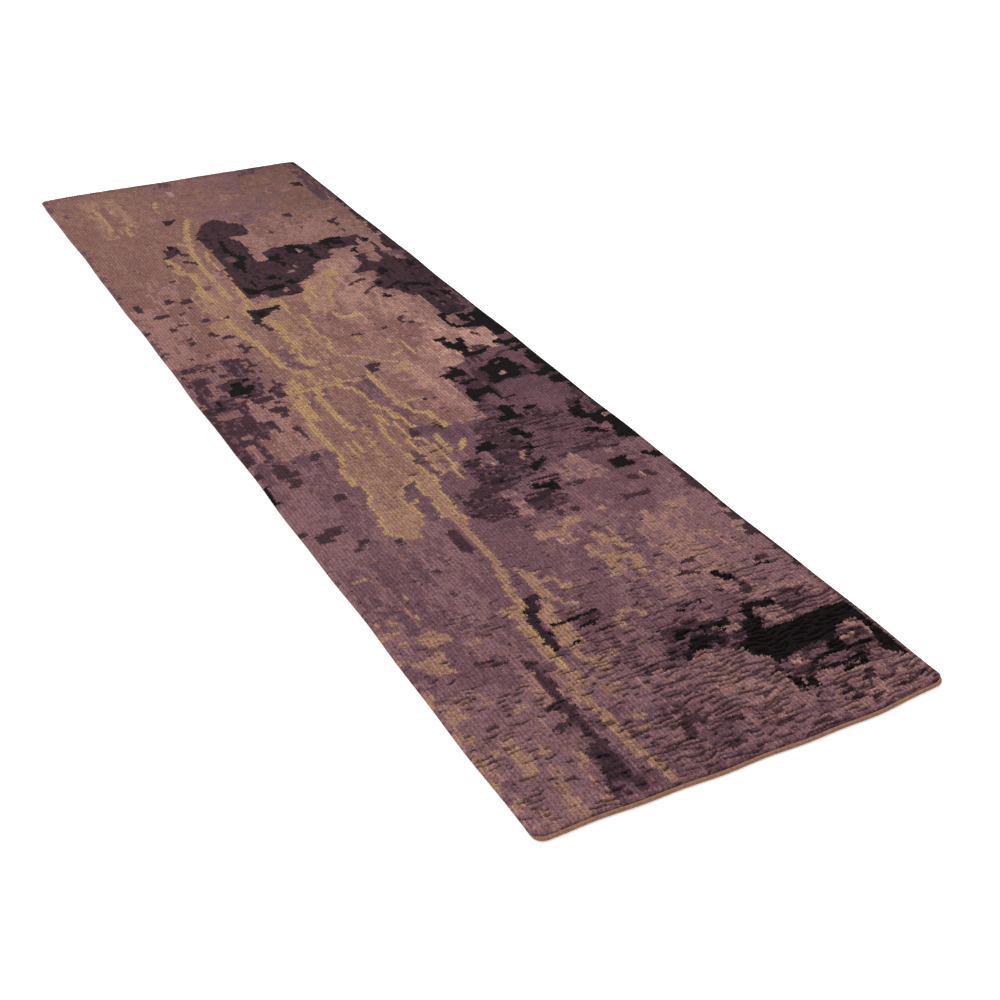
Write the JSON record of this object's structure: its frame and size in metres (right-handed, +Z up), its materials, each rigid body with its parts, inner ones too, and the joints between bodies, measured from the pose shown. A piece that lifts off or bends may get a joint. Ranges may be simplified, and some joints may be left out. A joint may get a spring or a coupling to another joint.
{
  "type": "runner rug",
  "caption": "Long narrow hand-knotted rug lying flat, with a cut pile in an abstract pattern, overcast long sides and whipped ends with rounded corners.",
  "frame": {"origin": "on the floor, under the middle of the rug", "axes": "+X across the rug, +Y along its length towards the end with the brown field, +Z up through the pile"},
  "size_m": [0.8, 3, 0.0112],
  "materials": {
    "charcoal_wool": "cut pile, matte, brown-black",
    "cord_cotton": "twisted cord, undyed",
    "end_yarn": "wrapped yarn, matte, tan brown",
    "foundation_cotton": "plain weave, undyed",
    "gold_wool": "cut pile, matte, dull gold",
    "mauve_wool": "cut pile, matte, soft dusty mauve",
    "plum_wool": "cut pile, matte, dark plum",
    "rose_wool": "cut pile, matte, faded rose",
    "side_yarn": "wrapped yarn, matte, mauve brown",
    "tan_wool": "cut pile, matte, tan",
    "taupe_wool": "cut pile, matte, brownish taupe"
  },
  "bodies": {
    "root": {"foundation_web": "foundation_cotton", "front_cord": "cord_cotton", "front_whipping": "end_yarn", "left_cord": "cord_cotton", "left_overcasting": "side_yarn", "pile_charcoal_1": "charcoal_wool", "pile_charcoal_10": "charcoal_wool", "pile_charcoal_11": "charcoal_wool", "pile_charcoal_2": "charcoal_wool", "pile_charcoal_3": "charcoal_wool", "pile_charcoal_4": "charcoal_wool", "pile_charcoal_5": "charcoal_wool", "pile_charcoal_6": "charcoal_wool", "pile_charcoal_7": "charcoal_wool", "pile_charcoal_8": "charcoal_wool", "pile_charcoal_9": "charcoal_wool", "pile_gold_1": "gold_wool", "pile_gold_2": "gold_wool", "pile_gold_3": "gold_wool", "pile_gold_4": "gold_wool", "pile_mauve_1": "mauve_wool", "pile_mauve_2": "mauve_wool", "pile_mauve_3": "mauve_wool", "pile_mauve_4": "mauve_wool", "pile_mauve_5": "mauve_wool", "pile_mauve_6": "mauve_wool", "pile_mauve_7": "mauve_wool", "pile_mauve_8": "mauve_wool", "pile_plum_1": "plum_wool", "pile_plum_2": "plum_wool", "pile_plum_3": "plum_wool", "pile_plum_4": "plum_wool", "pile_plum_5": "plum_wool", "pile_plum_6": "plum_wool", "pile_plum_7": "plum_wool", "pile_plum_8": "plum_wool", "pile_plum_9": "plum_wool", "pile_rose_1": "rose_wool", "pile_rose_2": "rose_wool", "pile_rose_3": "rose_wool", "pile_rose_4": "rose_wool", "pile_rose_5": "rose_wool", "pile_tan_1": "tan_wool", "pile_tan_2": "tan_wool", "pile_tan_3": "tan_wool", "pile_taupe_1": "taupe_wool", "pile_taupe_2": "taupe_wool", "pile_taupe_3": "taupe_wool", "rear_cord": "cord_cotton", "rear_whipping": "end_yarn", "right_cord": "cord_cotton", "right_overcasting": "side_yarn"}
  },
  "joints": []
}
